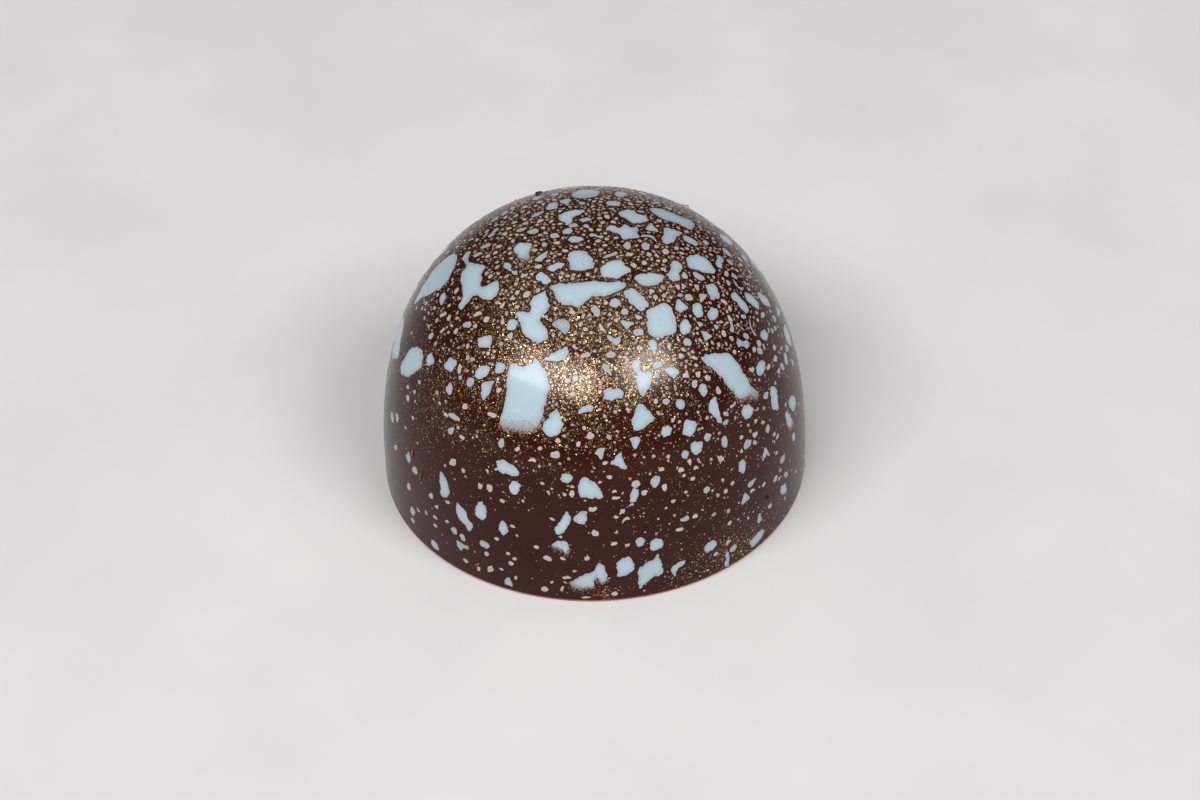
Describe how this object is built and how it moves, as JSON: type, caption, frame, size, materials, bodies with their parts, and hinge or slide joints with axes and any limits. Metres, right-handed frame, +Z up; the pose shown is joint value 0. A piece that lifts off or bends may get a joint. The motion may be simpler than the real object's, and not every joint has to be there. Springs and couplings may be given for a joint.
{
  "type": "chocolate praline",
  "caption": "Domed moulded chocolate sweet with a glossy dark shell, pale blue cocoa butter splashes and fine gold flakes, flat underneath.",
  "frame": {"origin": "Centre of the flat base, on the surface that the sweet rests on.", "axes": "+Z is up along the dome's axis. +X is to the right and +Y is away from a viewer of the front."},
  "size_m": [0.029, 0.029, 0.0191],
  "materials": {
    "dark_chocolate": "gloss",
    "blue_cocoa_butter": "gloss",
    "gold_flake": "satin",
    "orange_fibre": "satin"
  },
  "bodies": {
    "root": {"praline": "dark_chocolate"}
  },
  "joints": []
}
